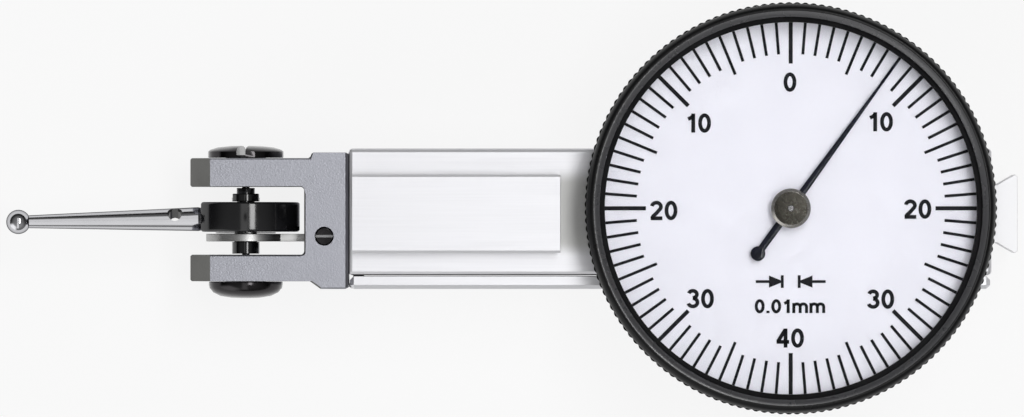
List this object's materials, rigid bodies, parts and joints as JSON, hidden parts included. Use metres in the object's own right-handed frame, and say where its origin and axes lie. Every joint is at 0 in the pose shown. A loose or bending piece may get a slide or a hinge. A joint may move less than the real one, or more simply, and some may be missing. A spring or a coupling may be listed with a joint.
{
  "type": "dial test indicator",
  "caption": "Lever type dial test indicator: a ball ended stylus turns a jewelled gear train that drives a pointer over a round dial in a knurled turning bezel, on a body with dovetails.",
  "frame": {"origin": "on the dial's axis, in the resting face of the back dovetail", "axes": "+Z out of the dial towards its reader, +X from the stylus to the dial, +Y up on the dial"},
  "size_m": [0.0799, 0.0324, 0.0168],
  "materials": {
    "satin_chrome": "satin chrome over steel",
    "knurled_chrome": "bright chrome, dark in the knurl",
    "pivot_screw_steel": "turned steel",
    "black_steel": "polished black steel",
    "bright_steel": "polished steel",
    "movement_brass": "fine turned brass",
    "ruby_jewel": "polished synthetic ruby",
    "dial_white": "matt printed dial",
    "pointer_black": "black lacquer",
    "bronze_hub": "dark bronze",
    "crystal": "clear and polished",
    "black_rubber": "matt"
  },
  "bodies": {
    "root": {"bezel_friction_ring": "movement_brass", "body": "satin_chrome", "bridge_screw_1": "bright_steel", "bridge_screw_2": "bright_steel", "crown_jewel_lower": "ruby_jewel", "crown_jewel_upper": "ruby_jewel", "dial_case": "satin_chrome", "dial_case_screw_1": "bright_steel", "dial_case_screw_2": "bright_steel", "dial_case_screw_3": "bright_steel", "fork": "satin_chrome", "fork_screw_1": "black_steel", "fork_screw_2": "black_steel", "hairspring": "bright_steel", "hairspring_stud": "movement_brass", "lower_pivot_bush": "movement_brass", "lower_pivot_screw": "pivot_screw_steel", "movement_bridge": "movement_brass", "side_cover": "satin_chrome", "side_cover_screw_1": "bright_steel", "side_cover_screw_2": "bright_steel", "side_cover_screw_3": "bright_steel", "side_cover_screw_4": "bright_steel", "spindle_bridge": "movement_brass", "spindle_bridge_screw_1": "bright_steel", "spindle_bridge_screw_2": "bright_steel", "spindle_jewel_back": "ruby_jewel", "spindle_jewel_front": "ruby_jewel", "travel_stop_screw": "black_steel", "upper_pivot_bush": "movement_brass", "upper_pivot_screw": "pivot_screw_steel"},
    "lever": {"lever": "bright_steel", "fulcrum_arbor": "bright_steel", "sector_gear": "movement_brass", "sector_screw_1": "black_steel", "sector_screw_2": "black_steel", "friction_washer": "movement_brass", "clutch_nut": "bright_steel"},
    "stylus": {"stylus_hub": "black_steel", "stylus": "satin_chrome", "stylus_ball": "bright_steel"},
    "crown": {"crown_arbor": "bright_steel", "crown_gear": "movement_brass", "hairspring_collet": "movement_brass"},
    "pointer": {"centre_spindle": "bright_steel", "pointer": "pointer_black", "pointer_hub": "bronze_hub"},
    "bezel": {"bezel": "knurled_chrome", "crystal": "crystal", "crystal_gasket": "black_rubber", "dial_plate": "dial_white", "dial_retaining_ring": "bright_steel"}
  },
  "joints": [
    {"name": "lever_pivot", "type": "hinge", "parent": "root", "child": "lever", "pos_m": [-0.04298, 0, 0.0061], "axis": [0, 1, 0], "range_deg": [0, 2.93], "stiffness_Nm_per_rad": 0.03, "springref_deg": -3.44},
    {"name": "stylus_swivel", "type": "hinge", "parent": "lever", "child": "stylus", "pos_m": [-0.04298, 0, 0.0061], "axis": [0, 1, 0], "range_deg": [-110, 110]},
    {"name": "crown_spin", "type": "hinge", "parent": "root", "child": "crown", "pos_m": [0, 0, 0.0061], "axis": [0, -1, 0], "range_deg": [0, 103.5]},
    {"name": "pointer_spin", "type": "hinge", "parent": "root", "child": "pointer", "pos_m": [0, 0, 0], "axis": [0, 0, -1], "range_deg": [0, 414]},
    {"name": "bezel_turn", "type": "hinge", "parent": "root", "child": "bezel", "pos_m": [0, 0, 0], "axis": [0, 0, 1], "continuous": true}
  ],
  "couplings": [
    {"joint": "crown_spin", "follows": "lever_pivot", "ratio": 35.333},
    {"joint": "pointer_spin", "follows": "lever_pivot", "ratio": 141.33}
  ]
}
